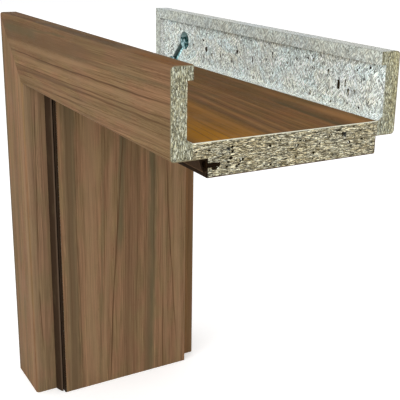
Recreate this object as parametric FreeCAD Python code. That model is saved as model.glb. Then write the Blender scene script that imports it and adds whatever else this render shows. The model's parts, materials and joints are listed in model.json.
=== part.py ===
import FreeCAD, Part

import math
import os

from FreeCAD import Vector

os.makedirs("parts", exist_ok=True)

# Corner of an adjustable door frame that wraps a wall: a short leg and a short head, mitred.
# Each member has a lining board across the wall, a fixed front architrave and a sliding rear one.
# Millimetres. X runs along the head, Y from the front face to the rear, Z up from the floor.
# The origin is on the floor, in the rebate corner of the leg, where door sizes are taken from.

# Lengths of the cut sample, taken at the rebate: floor to head, and leg to sawn end
rebate_height = 321.0
rebate_run = 297.0

# Architraves, seen in section: a board with a recessed back, a lip and a foot with a tongue
face_width = 60.0
board_thickness = 16.0
back_recess = 4.4
lip_width = 9.5
edge_round = 3.0
foot_chamfer_depth = 3.4
foot_chamfer_rise = 2.6

# Walnut laminate on every visible face
laminate = 0.6

# Lining board
lining_thickness = 24.0
reveal = 13.0
wall_thickness = 150.0
closing_gap = 1.0
groove_cheek = 5.4

# Door rebate and the groove that holds its gasket
rebate_depth = 27.0
kerf_width = 3.2
kerf_depth = 7.5
kerf_from_ground = 3.1

# Tongues and grooves between the architraves and the lining
front_tongue_length = 24.5
rear_tongue_length = 27.0
groove_spare = 3.0
slide_clearance = 0.25

# Gasket
gasket_foot = 6.5
gasket_tip = 1.5
gasket_tip_drop = 0.2
gasket_wall = 1.0
gasket_bulge = 0.7
gasket_stem = 1.7
barb_depth = 1.5
barb_count = 3
barb_clearance = 0.15

# Clamp that pulls an architrave mitre together, sunk in the back of the boards
pocket_radius = 9.0
pocket_spacing = 40.0
pocket_depth = 8.6
slot_width = 9.0
rod_radius = 2.5
rod_spare = 2.5
hexagon_across = 8.0
bolt_head_height = 4.0
nut_height = 5.0
shoe_thickness = 4.8
clamp_clearance = 0.2
thread_clearance = 0.05

# Dowels in the glued mitre of the lining
dowel_radius = 3.0
dowel_length = 24.0
dowel_from_face = 8.5
dowel_spacing = 29.0
dowel_count = 3
dowel_clearance = 0.05

# Places that follow from the sizes. Depths run from the front face, offsets from the outer edge.
lining_back = face_width + reveal - lining_thickness
lining_face = face_width + reveal
recess_front = board_thickness - back_recess
rear_lip = board_thickness + wall_thickness
rear_recess = rear_lip + back_recess
rear_face = rear_lip + board_thickness
lining_end = rear_lip - closing_gap
groove_top = lining_back + groove_cheek
tongue_bottom = face_width - laminate
front_tongue_end = board_thickness + front_tongue_length
front_groove_end = front_tongue_end + groove_spare
rear_shoulder = lining_end + slide_clearance
rear_tongue_end = rear_shoulder - rear_tongue_length
rear_groove_end = rear_tongue_end - groove_spare
kerf_top = face_width + kerf_from_ground
kerf_middle = kerf_top + kerf_width / 2
kerf_end = rebate_depth + kerf_depth
lining_middle = (board_thickness + lining_end) / 2
dowel_offset = lining_face - dowel_from_face
frame_top = rebate_height + face_width
recess_middle = (lip_width + lining_back - foot_chamfer_rise) / 2
clamp_offset = recess_middle + pocket_spacing / 2 / math.sqrt(2)


def leg_place(depth, offset):
    """Point of the leg's section, on the floor."""
    return Vector(offset - face_width, depth - rebate_depth, 0)


def head_place(depth, offset):
    """Point of the head's section, at the leg's outer edge."""
    return Vector(-face_width, depth - rebate_depth, frame_top - offset)


def mitre_place(depth, offset, along):
    """Point at an offset on the mitre, moved at right angles to it, towards the head when positive."""
    step = along / math.sqrt(2)
    return Vector(offset - face_width + step, depth - rebate_depth, frame_top - offset + step)


def section_wire(corners, place):
    """Closed wire through corners given as depth, offset and the radius that rounds the corner."""
    spots = [place(depth, offset) for depth, offset, radius in corners]
    edges = []
    last_end = None
    first_start = None
    for index, (depth, offset, radius) in enumerate(corners):
        spot = spots[index]
        start = spot
        end = spot
        if radius > 0:
            back = (spots[index - 1] - spot).normalize()
            ahead = (spots[(index + 1) % len(spots)] - spot).normalize()
            half_angle = back.getAngle(ahead) / 2
            reach = radius / math.tan(half_angle)
            start = spot + back * reach
            end = spot + ahead * reach
            inward = (back + ahead).normalize()
            middle = spot + inward * (radius / math.sin(half_angle) - radius)
        if last_end is None:
            first_start = start
        elif not last_end.isEqual(start, 1e-6):
            edges.append(Part.makeLine(last_end, start))
        if radius > 0:
            edges.append(Part.Arc(start, middle, end).toShape())
        last_end = end
    if not last_end.isEqual(first_start, 1e-6):
        edges.append(Part.makeLine(last_end, first_start))
    return Part.Wire(edges)


def mitre_waste(keep_leg):
    """Prism beyond the mitre: what is cut off the leg, or else what is cut off the head."""
    margin = board_thickness
    near = leg_place(0, -margin).x
    far = leg_place(0, lining_face + margin).x
    high = frame_top + margin
    low = frame_top - lining_face - margin
    third = (far, high) if keep_leg else (near, low)
    triangle = [(near, high), (far, low), third, (near, high)]
    front = -rebate_depth - margin
    face = Part.Face(Part.makePolygon([Vector(x, front, z) for x, z in triangle]))
    return face.extrude(Vector(0, rear_face + 2 * margin, 0))


def member(name, outlines):
    """Leg or head with this section, cut to the mitre. Outlines after the first are hollows."""
    is_leg = name == "leg"
    place = leg_place if is_leg else head_place
    run = Vector(0, 0, frame_top) if is_leg else Vector(face_width + rebate_run, 0, 0)
    solid = Part.Face(section_wire(outlines[0], place)).extrude(run)
    for hollow in outlines[1:]:
        solid = solid.cut(Part.Face(section_wire(hollow, place)).extrude(run))
    return solid.cut(mitre_waste(is_leg)).removeSplitter()


def front_board_section():
    """Chipboard of the front architrave: lip, face, foot and the tongue glued into the lining."""
    core_round = edge_round - laminate
    chamfer_end = recess_front + foot_chamfer_depth
    return [
        (board_thickness, laminate, 0),
        (laminate, laminate, core_round),
        (laminate, tongue_bottom, core_round),
        (front_tongue_end, tongue_bottom, 0),
        (front_tongue_end, groove_top, 0),
        (board_thickness, groove_top, 0),
        (board_thickness, lining_back, 0),
        (chamfer_end, lining_back, 0),
        (recess_front, lining_back - foot_chamfer_rise, 0),
        (recess_front, lip_width, 0),
        (board_thickness, lip_width, 0),
    ]


def front_skin_section():
    """Laminate folded round the front architrave, from the lip to the rebate wall."""
    core_round = edge_round - laminate
    return [
        (board_thickness, 0, 0),
        (0, 0, edge_round),
        (0, face_width, edge_round),
        (rebate_depth, face_width, 0),
        (rebate_depth, tongue_bottom, 0),
        (laminate, tongue_bottom, core_round),
        (laminate, laminate, core_round),
        (board_thickness, laminate, 0),
    ]


def rear_board_section():
    """Chipboard of the rear architrave, with the longer tongue that slides in the lining."""
    core_round = edge_round - laminate
    chamfer_end = rear_recess - foot_chamfer_depth
    return [
        (rear_lip, 0, 0),
        (rear_face - edge_round, 0, 0),
        (rear_face - edge_round, laminate, 0),
        (rear_face - laminate, laminate, core_round),
        (rear_face - laminate, tongue_bottom, core_round),
        (rear_tongue_end, tongue_bottom, 0),
        (rear_tongue_end, groove_top, 0),
        (rear_shoulder, groove_top, 0),
        (rear_shoulder, lining_back, 0),
        (chamfer_end, lining_back, 0),
        (rear_recess, lining_back - foot_chamfer_rise, 0),
        (rear_recess, lip_width, 0),
        (rear_lip, lip_width, 0),
    ]


def rear_skin_section():
    """Laminate of the rear architrave: its face, its inner edge and the tongue's seen side."""
    core_round = edge_round - laminate
    return [
        (rear_face - edge_round, 0, 0),
        (rear_face, 0, edge_round),
        (rear_face, face_width, edge_round),
        (rear_tongue_end, face_width, 0),
        (rear_tongue_end, tongue_bottom, 0),
        (rear_face - laminate, tongue_bottom, core_round),
        (rear_face - laminate, laminate, core_round),
        (rear_face - edge_round, laminate, 0),
    ]


def lining_board_section():
    """Chipboard of the lining: front groove, gasket kerf and the deep rear groove."""
    back = lining_back + laminate
    face = lining_face - laminate
    return [
        (board_thickness, back, 0),
        (lining_end, back, 0),
        (lining_end, groove_top - slide_clearance, 0),
        (rear_groove_end, groove_top - slide_clearance, 0),
        (rear_groove_end, face_width + slide_clearance, 0),
        (lining_end - laminate, face_width + slide_clearance, 0),
        (lining_end - laminate, face, 0),
        (rebate_depth, face, 0),
        (rebate_depth, kerf_top + kerf_width, 0),
        (kerf_end, kerf_top + kerf_width, 0),
        (kerf_end, kerf_top, 0),
        (rebate_depth, kerf_top, 0),
        (rebate_depth, tongue_bottom, 0),
        (front_groove_end, tongue_bottom, 0),
        (front_groove_end, groove_top, 0),
        (board_thickness, groove_top, 0),
    ]


def lining_back_section():
    """Laminate on the wall side of the lining."""
    return [
        (board_thickness, lining_back, 0),
        (lining_end, lining_back, 0),
        (lining_end, lining_back + laminate, 0),
        (board_thickness, lining_back + laminate, 0),
    ]


def lining_face_section():
    """Laminate on the opening side of the lining, folded over its rear edge."""
    start = face_width + slide_clearance
    return [
        (rebate_depth, lining_face, 0),
        (lining_end, lining_face, 2 * laminate),
        (lining_end, start, 0),
        (lining_end - laminate, start, 0),
        (lining_end - laminate, lining_face - laminate, 0),
        (rebate_depth, lining_face - laminate, 0),
    ]


def gasket_barb():
    """Corners of the gasket's barbed stem, from the wall in to its end and back out."""
    wide = kerf_width / 2 - barb_clearance
    thin = gasket_stem / 2
    pitch = (kerf_depth - 2 * barb_clearance) / barb_count
    upper = [(rebate_depth, kerf_middle - thin, 0)]
    for index in range(barb_count):
        root = rebate_depth + index * pitch
        upper.append((root + pitch - barb_depth, kerf_middle - thin, 0))
        upper.append((root + pitch - barb_depth, kerf_middle - wide, 0))
        upper.append((root + pitch, kerf_middle - thin, 0))
    lower = [(depth, 2 * kerf_middle - offset, 0) for depth, offset, radius in reversed(upper)]
    return upper + lower


def gasket_section():
    """Outer outline of the gasket: it fills the rebate corner and leans back to the lining's face."""
    nose = rebate_depth - gasket_foot
    tip = rebate_depth - gasket_tip
    middle_depth = (nose + tip) / 2 - gasket_bulge
    middle_offset = (face_width + lining_face) / 2
    outline = [
        (rebate_depth, face_width, 0),
        (nose, face_width, 0),
        (middle_depth, middle_offset, 2 * reveal),
        (tip, lining_face + gasket_tip_drop, 0),
        (rebate_depth, lining_face + gasket_tip_drop, 0),
    ]
    return outline + list(reversed(gasket_barb()))


def gasket_chamber():
    """Hollow inside the gasket, one wall thickness away from every side."""
    nose = rebate_depth - gasket_foot
    lean = (gasket_foot - gasket_tip) / reveal
    top = face_width + gasket_wall
    back = rebate_depth - gasket_wall
    side = gasket_wall * math.hypot(1, lean)
    front = nose + side + lean * gasket_wall
    low = face_width + (back - nose - side - gasket_wall / 2) / lean
    corner = gasket_wall / 4
    return [
        (back, top, corner),
        (front, top, corner),
        (back - gasket_wall / 2, min(low, lining_face - gasket_wall), corner),
        (back, min(low, lining_face - gasket_wall), corner),
    ]


def turned(radius, depth, offset, start, stop):
    """Round bar at right angles to the mitre, between two distances from it."""
    foot = mitre_place(depth, offset, start)
    axis = mitre_place(depth, offset, stop) - foot
    return Part.makeCylinder(radius, axis.Length, foot, axis)


def hexagon_block(depth, offset, start, stop):
    """Hexagon bar on the clamp's axis, with its corners turned down at both ends."""
    foot = mitre_place(depth, offset, start)
    axis = mitre_place(depth, offset, stop) - foot
    ahead = Vector(axis).normalize()
    side = Vector(0, 1, 0)
    up = ahead.cross(side)
    corner = hexagon_across / math.sqrt(3)
    points = []
    for index in range(7):
        angle = math.radians(60 * index)
        points.append(foot + side * (corner * math.sin(angle)) + up * (corner * math.cos(angle)))
    block = Part.Face(Part.makePolygon(points)).extrude(axis)
    chamfer = (corner - hexagon_across / 2) / 2
    blank = Part.makeCylinder(corner, axis.Length, foot, ahead)
    return block.common(blank.makeChamfer(chamfer, [blank.Edges[0], blank.Edges[2]]))


def clamp_pockets(recess, inward):
    """Two round pockets and the slot between them, sunk into the boards from their recessed back."""
    floor = recess + inward * pocket_depth
    sunk = Vector(0, inward * 2 * pocket_depth, 0)
    start = floor - inward * 2 * pocket_depth
    half = pocket_spacing / 2
    reach = slot_width / 2 / math.sqrt(2)
    slot = [
        mitre_place(start, clamp_offset - reach, -half),
        mitre_place(start, clamp_offset - reach, half),
        mitre_place(start, clamp_offset + reach, half),
        mitre_place(start, clamp_offset + reach, -half),
    ]
    pockets = Part.Face(Part.makePolygon(slot + [slot[0]])).extrude(sunk)
    for side in (-half, half):
        centre = mitre_place(start, clamp_offset, side)
        pockets = pockets.fuse(Part.makeCylinder(pocket_radius, sunk.Length, centre, sunk))
    return pockets


def clamp_pieces(recess, inward):
    """Bolt, nut and the two half-round shoes of one mitre clamp."""
    half = pocket_spacing / 2
    depth = recess + inward * pocket_depth / 2
    seat = half - pocket_radius + clamp_clearance
    flat = seat + shoe_thickness
    head_end = flat + bolt_head_height
    nut_end = flat + nut_height
    rod = turned(rod_radius, depth, clamp_offset, -nut_end - rod_spare, flat)
    bolt = rod.fuse(hexagon_block(depth, clamp_offset, flat, head_end)).removeSplitter()
    bore = turned(rod_radius + thread_clearance, depth, clamp_offset, -nut_end, -flat)
    nut = hexagon_block(depth, clamp_offset, -nut_end, -flat).cut(bore)
    shoes = []
    for side in (1, -1):
        height = pocket_depth - 2 * clamp_clearance
        middle = mitre_place(depth - height / 2, clamp_offset, side * half)
        round_blank = Part.makeCylinder(pocket_radius - clamp_clearance, height, middle, Vector(0, 1, 0))
        beyond = flat + pocket_radius
        keep = turned(2 * pocket_radius, depth, clamp_offset, side * (flat - pocket_radius), side * flat)
        hole = turned(rod_radius + clamp_clearance, depth, clamp_offset, 0, side * beyond)
        shoes.append(round_blank.common(keep).cut(hole))
    return {"bolt": bolt, "nut": nut, "head_shoe": shoes[0], "leg_shoe": shoes[1]}


def dowel_places():
    """Depths of the dowels, spread evenly about the middle of the lining."""
    first = lining_middle - dowel_spacing * (dowel_count - 1) / 2
    return [first + dowel_spacing * index for index in range(dowel_count)]


def dowel(depth, clearance):
    """Dowel across the lining's mitre, or with a clearance the hole it is glued into."""
    half = dowel_length / 2 + clearance
    return turned(dowel_radius + clearance, depth, dowel_offset, -half, half)


def save(name, shape):
    shape.exportStep(os.path.join("parts", name + ".step"))


front_pockets = clamp_pockets(recess_front, -1)
rear_pockets = clamp_pockets(rear_recess, 1)

for name in ("leg", "head"):
    lining = member(name, [lining_board_section()])
    for depth in dowel_places():
        lining = lining.cut(dowel(depth, dowel_clearance))
    save(name + "_lining_board", lining)
    save(name + "_lining_face_laminate", member(name, [lining_face_section()]))
    save(name + "_lining_back_laminate", member(name, [lining_back_section()]))
    save(name + "_front_architrave_board", member(name, [front_board_section()]).cut(front_pockets))
    save(name + "_front_architrave_laminate", member(name, [front_skin_section()]))
    save(name + "_rear_architrave_board", member(name, [rear_board_section()]).cut(rear_pockets))
    save(name + "_rear_architrave_laminate", member(name, [rear_skin_section()]))
    save(name + "_gasket", member(name, [gasket_section(), gasket_chamber()]))

for name, recess, inward in (("front", recess_front, -1), ("rear", rear_recess, 1)):
    for piece, shape in clamp_pieces(recess, inward).items():
        save(name + "_clamp_" + piece, shape)

for number, depth in enumerate(dowel_places(), 1):
    save("lining_dowel_" + str(number), dowel(depth, 0))
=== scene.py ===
import json
import math
import random

import bpy
from bpy.props import FloatProperty, FloatVectorProperty, IntProperty, PointerProperty
from bpy.types import Operator, Panel, PropertyGroup
from mathutils import Matrix, Vector

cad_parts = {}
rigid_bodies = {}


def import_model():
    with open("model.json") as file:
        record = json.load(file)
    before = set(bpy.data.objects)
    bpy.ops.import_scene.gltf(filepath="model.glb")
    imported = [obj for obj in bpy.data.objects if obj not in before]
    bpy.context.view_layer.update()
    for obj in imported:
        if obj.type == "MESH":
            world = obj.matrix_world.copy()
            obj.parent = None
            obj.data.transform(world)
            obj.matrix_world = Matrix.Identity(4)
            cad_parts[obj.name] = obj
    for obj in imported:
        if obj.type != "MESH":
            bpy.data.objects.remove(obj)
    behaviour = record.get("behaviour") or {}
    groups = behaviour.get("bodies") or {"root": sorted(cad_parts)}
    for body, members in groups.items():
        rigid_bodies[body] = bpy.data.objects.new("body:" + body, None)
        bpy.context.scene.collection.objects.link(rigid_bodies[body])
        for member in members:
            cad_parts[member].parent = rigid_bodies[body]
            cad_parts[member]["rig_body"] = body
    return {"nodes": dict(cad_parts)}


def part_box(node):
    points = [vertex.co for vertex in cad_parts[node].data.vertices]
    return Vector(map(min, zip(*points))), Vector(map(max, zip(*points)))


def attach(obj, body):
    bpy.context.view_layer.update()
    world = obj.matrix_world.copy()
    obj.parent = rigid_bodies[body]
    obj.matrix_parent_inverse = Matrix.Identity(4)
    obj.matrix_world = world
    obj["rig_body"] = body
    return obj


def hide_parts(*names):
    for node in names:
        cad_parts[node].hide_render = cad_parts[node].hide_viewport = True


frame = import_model()

bl_info = {
    "name": "Door Frame Corner",
    "version": (1, 0, 0),
    "blender": (4, 5, 0),
    "location": "3D View > Sidebar > Door Frame",
    "description": "Dresses the cut corner of a laminated chipboard door frame",
    "category": "Object",
}

MM = 0.001

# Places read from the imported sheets, in metres
FRONT_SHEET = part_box("head_front_architrave_laminate")
LINING_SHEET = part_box("head_lining_face_laminate")
WALL_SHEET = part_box("head_lining_back_laminate")
REAR_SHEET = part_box("head_rear_architrave_laminate")
OUTER_X = FRONT_SHEET[0].x
TOP_Z = FRONT_SHEET[1].z
FRONT_Y = FRONT_SHEET[0].y
SAWN_X = FRONT_SHEET[1].x
REAR_Y = REAR_SHEET[1].y

# The same in mm: depths from the front face, offsets from the outer edge, lengths along a member
FACE_WIDTH = (TOP_Z - FRONT_SHEET[0].z) / MM
LINING_FACE = (TOP_Z - LINING_SHEET[0].z) / MM
LINING_BACK = (TOP_Z - WALL_SHEET[1].z) / MM
FRAME_DEPTH = (REAR_Y - FRONT_Y) / MM
HEAD_END = SAWN_X / MM
LEG_TOP = TOP_Z / MM

# Places in the boards' sections, in mm: the lip's edge, where an architrave's foot begins, the depths
# of the architraves' backs and recesses, and the level at which hollows open in each recess
LIP_EDGE = 9.6
FOOT = (44.0, 46.0)
FRONT_BACK, FRONT_RECESS, FRONT_HOLLOWS = 16.0, 11.0, 11.6
REAR_BACK, REAR_RECESS, REAR_HOLLOWS = 166.0, 171.0, 170.4

# Points of a mesh nearer than this are one point, in metres
MERGE_GAP = 0.000002

# Start values of node group inputs
ORIGIN = (0.0, 0.0, 0.0)
GREY = (0.5, 0.5, 0.5, 1.0)


def across(depth, offset, length, member):
    """Point at a depth, an offset and a length along a member, all in mm."""
    if member == "leg":
        return Vector((OUTER_X + offset * MM, FRONT_Y + depth * MM, length * MM))
    return Vector((length * MM, FRONT_Y + depth * MM, TOP_Z - offset * MM))


def colour(label, note, red, green, blue):
    """One colour of a finish, written as it is seen, from 0 to 255 a channel."""
    seen = (red / 255, green / 255, blue / 255)
    return FloatVectorProperty(
        name=label, description=note, subtype="COLOR_GAMMA", size=3, min=0, max=1, default=seen
    )


class DoorFrameColours(PropertyGroup):
    """Colours of the laminate, the chipboard, the gasket and the metal."""

    walnut_light: colour("Walnut light", "Pale wood between the growth lines", 143, 114, 84)
    walnut_mid: colour("Walnut middle", "Main colour of the laminate", 128, 100, 73)
    walnut_dark: colour("Walnut dark", "Darker bands of the laminate", 106, 81, 58)
    walnut_olive: colour("Walnut olive", "Greenish grey streaks of the laminate", 97, 84, 60)
    walnut_line: colour("Walnut line", "Thin dark growth lines", 82, 58, 38)
    backing_light: colour("Backing light", "Pale streaks of the sheet on the wall side", 138, 100, 62)
    backing_mid: colour("Backing middle", "Main colour of the sheet on the wall side", 107, 79, 50)
    backing_dark: colour("Backing dark", "Darker bands of the sheet on the wall side", 87, 65, 42)
    backing_olive: colour("Backing olive", "Olive streaks of the sheet on the wall side", 77, 65, 43)
    backing_gold: colour("Backing gold", "Golden patches of the sheet on the wall side", 155, 105, 22)
    sheet_core: colour("Sheet core", "Paper core of the laminate at a sawn end", 134, 124, 98)
    sawn_pale: colour("Sawn pale", "Palest chips of a sawn architrave", 228, 228, 208)
    sawn_mid: colour("Sawn middle", "Most chips of a sawn architrave", 186, 181, 152)
    sawn_deep: colour("Sawn deep", "Darkest chips of a sawn architrave", 118, 114, 90)
    lining_pale: colour("Lining pale", "Palest chips of the sawn lining", 246, 238, 210)
    lining_mid: colour("Lining middle", "Most chips of the sawn lining", 210, 196, 160)
    lining_deep: colour("Lining deep", "Darkest chips of the sawn lining", 112, 99, 66)
    wall_pale: colour("Wall side pale", "Palest chips of the bare wall side", 255, 255, 255)
    wall_mid: colour("Wall side middle", "Most chips of the bare wall side", 248, 253, 247)
    wall_deep: colour("Wall side deep", "Darkest chips of the bare wall side", 228, 232, 222)
    lip_tint: colour("Lip", "Sanded lip beside the milled recess", 186, 189, 181)
    chip_gap: colour("Chip gap", "Shadow between chips and inside their hollows", 46, 40, 30)
    wall_gap: colour("Wall side gap", "Shadow between the chips of the wall side", 78, 82, 72)
    # Painted reflection of the zinc clamp parts, laid on the bare chipboard inside the clamp pockets
    pocket: colour("Clamp pocket", "Shaded inside of the clamp pockets", 222, 246, 246)
    rubber: colour("Rubber", "Dark brown gasket", 58, 44, 32)
    # Painted highlight: paler brown along the rim of the gasket's lip
    rubber_worn: colour("Rubber worn", "Paler brown along the rim of the gasket", 94, 77, 62)
    zinc: colour("Zinc plate", "Blue passivated steel of the clamps", 178, 210, 212)
    zinc_deep: colour("Zinc plate deep", "Dark patches of the passivated steel", 62, 104, 106)
    beech: colour("Beech", "Dowels in the lining's mitre", 205, 170, 124)
    floor: colour("Floor", "Plain pale floor", 250, 250, 250)


class DoorFrameSizes(PropertyGroup):
    """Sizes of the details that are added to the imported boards."""

    flake_length: FloatProperty(
        name="Flake length", description="Length of a wood chip, in millimetres", default=5.2, min=0.5, max=12
    )
    flake_width: FloatProperty(
        name="Flake width", description="Width of a wood chip, in millimetres", default=1.7, min=0.2, max=6
    )
    flake_thickness: FloatProperty(
        name="Flake thickness", description="Thickness of a wood chip, in millimetres",
        default=0.8, min=0.1, max=3,
    )
    grain_wander: FloatProperty(
        name="Grain wander", description="How far the growth lines stray sideways, in millimetres",
        default=7, min=0, max=30,
    )
    small_hollows: IntProperty(
        name="Small hollows", description="Number of small hollows in each board's bare faces",
        default=46, min=0, max=200,
    )
    hollow_seed: IntProperty(
        name="Hollow seed", description="Start value for the places of the small hollows", default=11, min=0
    )
    thread_pitch: FloatProperty(
        name="Thread pitch", description="Distance between the turns of the clamp's thread",
        default=0.0008, min=0.0004, max=0.002, subtype="DISTANCE", unit="LENGTH",
    )
    thread_depth: FloatProperty(
        name="Thread depth", description="Height of the clamp's thread",
        default=0.00045, min=0.0001, max=0.001, subtype="DISTANCE", unit="LENGTH",
    )


class DoorFrameStage(PropertyGroup):
    """Camera, lamps and floor."""

    camera_place: FloatVectorProperty(
        name="Camera place", description="Where the camera stands",
        size=3, subtype="TRANSLATION", unit="LENGTH", default=(0.72026, -0.24422, 0.45560),
    )
    camera_right: FloatVectorProperty(
        name="Camera right", description="Direction to the right of the picture",
        size=3, subtype="DIRECTION", default=(0.51397, 0.85750, 0.02310),
    )
    camera_down: FloatVectorProperty(
        name="Camera down", description="Direction to the foot of the picture",
        size=3, subtype="DIRECTION", default=(0.25877, -0.12932, -0.95724),
    )
    lens: FloatProperty(
        name="Lens", description="Focal length on a 36 mm sensor, in millimetres",
        default=72.34, min=10, max=300,
    )
    shift: FloatVectorProperty(
        name="Shift", description="Sideways and upward shift of the picture", size=2, default=(-0.065, -0.055)
    )
    sky: FloatProperty(name="Sky level", description="Even light from all round", default=0.77, min=0, max=3)
    key: FloatProperty(
        name="Front lamp", description="Power of the large lamp in front, in watts",
        default=13.6, min=0, max=500,
    )
    floor_size: FloatProperty(
        name="Floor size", description="Side of the floor",
        default=9, min=1, max=40, subtype="DISTANCE", unit="LENGTH",
    )


def tint(name):
    """Colour of the scene's settings as the shaders need it."""
    seen = getattr(bpy.context.scene.door_frame_colours, name)
    plain = [v / 12.92 if v <= 0.04045 else ((v + 0.055) / 1.055) ** 2.4 for v in seen]
    return (*plain, 1.0)


class Wire:
    """A node's output. Arithmetic with it lays further nodes and gives their output."""

    def __init__(self, desk, socket):
        self.desk = desk
        self.socket = socket

    def __add__(self, other):
        return self.desk.calc("ADD", self, other)

    def __sub__(self, other):
        return self.desk.calc("SUBTRACT", self, other)

    def __rsub__(self, other):
        return self.desk.calc("SUBTRACT", other, self)

    def __mul__(self, other):
        return self.desk.calc("MULTIPLY", self, other)

    def __truediv__(self, other):
        return self.desk.calc("DIVIDE", self, other)

    def __abs__(self):
        return self.desk.calc("ABSOLUTE", self)

    def soft(self, low, high):
        """Smooth step from 0 at low to 1 at high."""
        sockets = {0: self, 1: low, 2: high, 3: 0.0, 4: 1.0}
        return self.desk.take("MapRange", sockets, interpolation_type="SMOOTHSTEP")

    def clamped(self):
        """The value kept from 0 to 1."""
        return self.desk.take("Clamp", {"Value": self})

    def painted(self, mask, paint):
        """This colour with another one laid over it by a mask."""
        return self.desk.mix(mask, self, paint)

    def dyed(self, mask, dye):
        """This colour multiplied by another one, or by a number, by a mask."""
        return self.desk.mix(mask, self, dye, blend="MULTIPLY")


class Desk:
    """Lays shader nodes side by side in one tree and wires them."""

    def __init__(self, tree):
        self.tree = tree
        self.count = 0

    def put(self, kind, sockets=None, **settings):
        """Add a node, set it up and feed its sockets with values or with other nodes' outputs."""
        made = self.tree.nodes.new(kind if kind.startswith("NodeGroup") else "ShaderNode" + kind)
        made.location = (220 * (self.count % 12), -260 * (self.count // 12))
        self.count += 1
        for name, value in settings.items():
            setattr(made, name, value)
        for name, value in (sockets or {}).items():
            self.feed(made.inputs[name], value)
        return made

    def take(self, kind, sockets=None, output=0, **settings):
        """Add a node and take one of its outputs."""
        return Wire(self, self.put(kind, sockets, **settings).outputs[output])

    def feed(self, socket, value):
        """Wire an output to a socket, or write a plain value on it."""
        if isinstance(value, Wire):
            self.tree.links.new(value.socket, socket)
        elif socket.type == "RGBA" and len(value) == 3:
            socket.default_value = (*value, 1.0)
        else:
            socket.default_value = value

    def wires(self, node):
        """All outputs of a node by name."""
        return {socket.name: Wire(self, socket) for socket in node.outputs}

    def group(self, name, build, sockets):
        """Place a shared node group, which is built the first time it is asked for."""
        tree = bpy.data.node_groups.get(name) or build(name)
        made = self.put("Group", node_tree=tree)
        for label, value in sockets.items():
            self.feed(made.inputs[label], value)
        return self.wires(made)

    def give(self, outputs):
        """Send the results out of a node group. Returns its tree."""
        for name in outputs:
            kind = "NodeSocketColor" if name == "Color" else "NodeSocketFloat"
            self.tree.interface.new_socket(name=name, in_out="OUTPUT", socket_type=kind)
        self.put("NodeGroupOutput", outputs).location = (2900, 0)
        return self.tree

    def calc(self, operation, first, second=None):
        """One step of arithmetic."""
        sockets = {0: first} if second is None else {0: first, 1: second}
        return self.take("Math", sockets, operation=operation)

    def vector(self, operation, first, second):
        """One step of vector arithmetic."""
        return self.take("VectorMath", {0: first, 1: second}, operation=operation)

    def scaled(self, vector, factor):
        """A vector made longer or shorter."""
        return self.take("VectorMath", {0: vector, "Scale": factor}, operation="SCALE")

    def turned(self, vector, angle):
        """A vector turned about the third axis."""
        return self.take("VectorRotate", {"Vector": vector, "Angle": angle}, rotation_type="Z_AXIS")

    def split(self, vector):
        """The three parts of a vector."""
        return self.wires(self.put("SeparateXYZ", {0: vector})).values()

    def join(self, x, y, z):
        """A vector of three parts."""
        return self.take("CombineXYZ", {0: x, 1: y, 2: z})

    def mix(self, factor, first, second, kind="RGBA", blend="MIX"):
        """Blend two colours (RGBA), numbers (FLOAT) or vectors (VECTOR)."""
        start, output = {"FLOAT": (2, 0), "VECTOR": (4, 1), "RGBA": (6, 2)}[kind]
        sockets = {0: factor, start: first, start + 1: second}
        return self.take("Mix", sockets, output, data_type=kind, blend_type=blend)

    def cloud(self, vector, detail=0.0, rough=0.5, scale=1.0, output=0):
        """Cloudy noise."""
        sockets = {"Vector": vector, "Scale": scale, "Detail": detail, "Roughness": rough}
        return self.take("TexNoise", sockets, output, noise_dimensions="3D")

    def noise(self, vector, stretch, start, detail=0.0, rough=0.5):
        """Cloudy noise with its features stretched to these lengths."""
        sockets = {"Vector": vector, "Location": start, "Scale": tuple(1 / s for s in stretch)}
        return self.cloud(self.take("Mapping", sockets), detail, rough)

    def ramp(self, factor, stops):
        """Colour ramp through (place, colour) stops."""
        made = self.put("ValToRGB", {0: factor})
        row = made.color_ramp.elements
        while len(row) < len(stops):
            row.new(0.5)
        for element, (place, shade) in zip(row, stops):
            element.position = place
            element.color = shade
        return Wire(self, made.outputs[0])


def new_group(name, inputs):
    """Empty node group with its inputs. Returns its desk and its inputs by name."""
    tree = bpy.data.node_groups.new(name, "ShaderNodeTree")
    for label, value in inputs.items():
        kind = "Float" if isinstance(value, float) else "Vector" if len(value) == 3 else "Color"
        socket = tree.interface.new_socket(name=label, in_out="INPUT", socket_type="NodeSocket" + kind)
        socket.default_value = value
    desk = Desk(tree)
    return desk, desk.wires(desk.put("NodeGroupInput"))


def build_places(name):
    """Object place as depth from the front face, offset and length on each member, and distance from the mitre."""
    desk, entry = new_group(name, {"Vector": ORIGIN})
    x, y, z = desk.split(desk.scaled(entry["Vector"], 1 / MM))
    leg, head = x - OUTER_X / MM, LEG_TOP - z
    places = {"Leg offset": leg, "Leg length": z, "Head offset": head, "Head length": x}
    return desk.give({"Depth": y - FRONT_Y / MM, **places, "Mitre": abs(leg - head)})


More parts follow.
